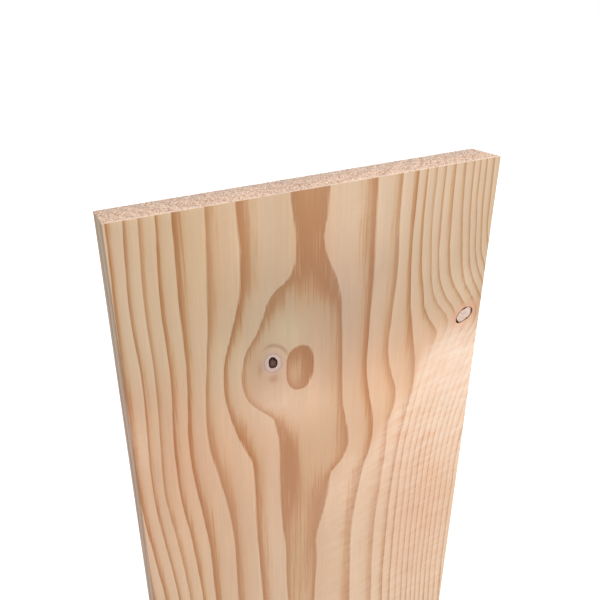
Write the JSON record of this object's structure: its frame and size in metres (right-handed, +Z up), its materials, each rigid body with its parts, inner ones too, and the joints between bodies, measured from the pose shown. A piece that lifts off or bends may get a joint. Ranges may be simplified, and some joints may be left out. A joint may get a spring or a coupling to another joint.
{
  "type": "planed softwood board",
  "caption": "Straight planed softwood board of solid timber with square-cut ends, standing upright, with small encased knots near its upper end.",
  "frame": {"origin": "centre of the lower end, where the upright board stands", "axes": "+Z up along the board's length and grain, -Y out of the planed front face with the knots, +X to the right across the width"},
  "size_m": [0.184, 0.019, 0.914],
  "materials": {
    "planed_softwood": "planed, unfinished",
    "edge_knot_wood": "planed, unfinished",
    "centre_knot_wood": "planed, unfinished",
    "knot_bark": "dry bark, rough"
  },
  "bodies": {
    "root": {"board": "planed_softwood", "edge_knot": "edge_knot_wood", "edge_knot_bark": "knot_bark", "centre_knot": "centre_knot_wood", "centre_knot_bark": "knot_bark"}
  },
  "joints": []
}
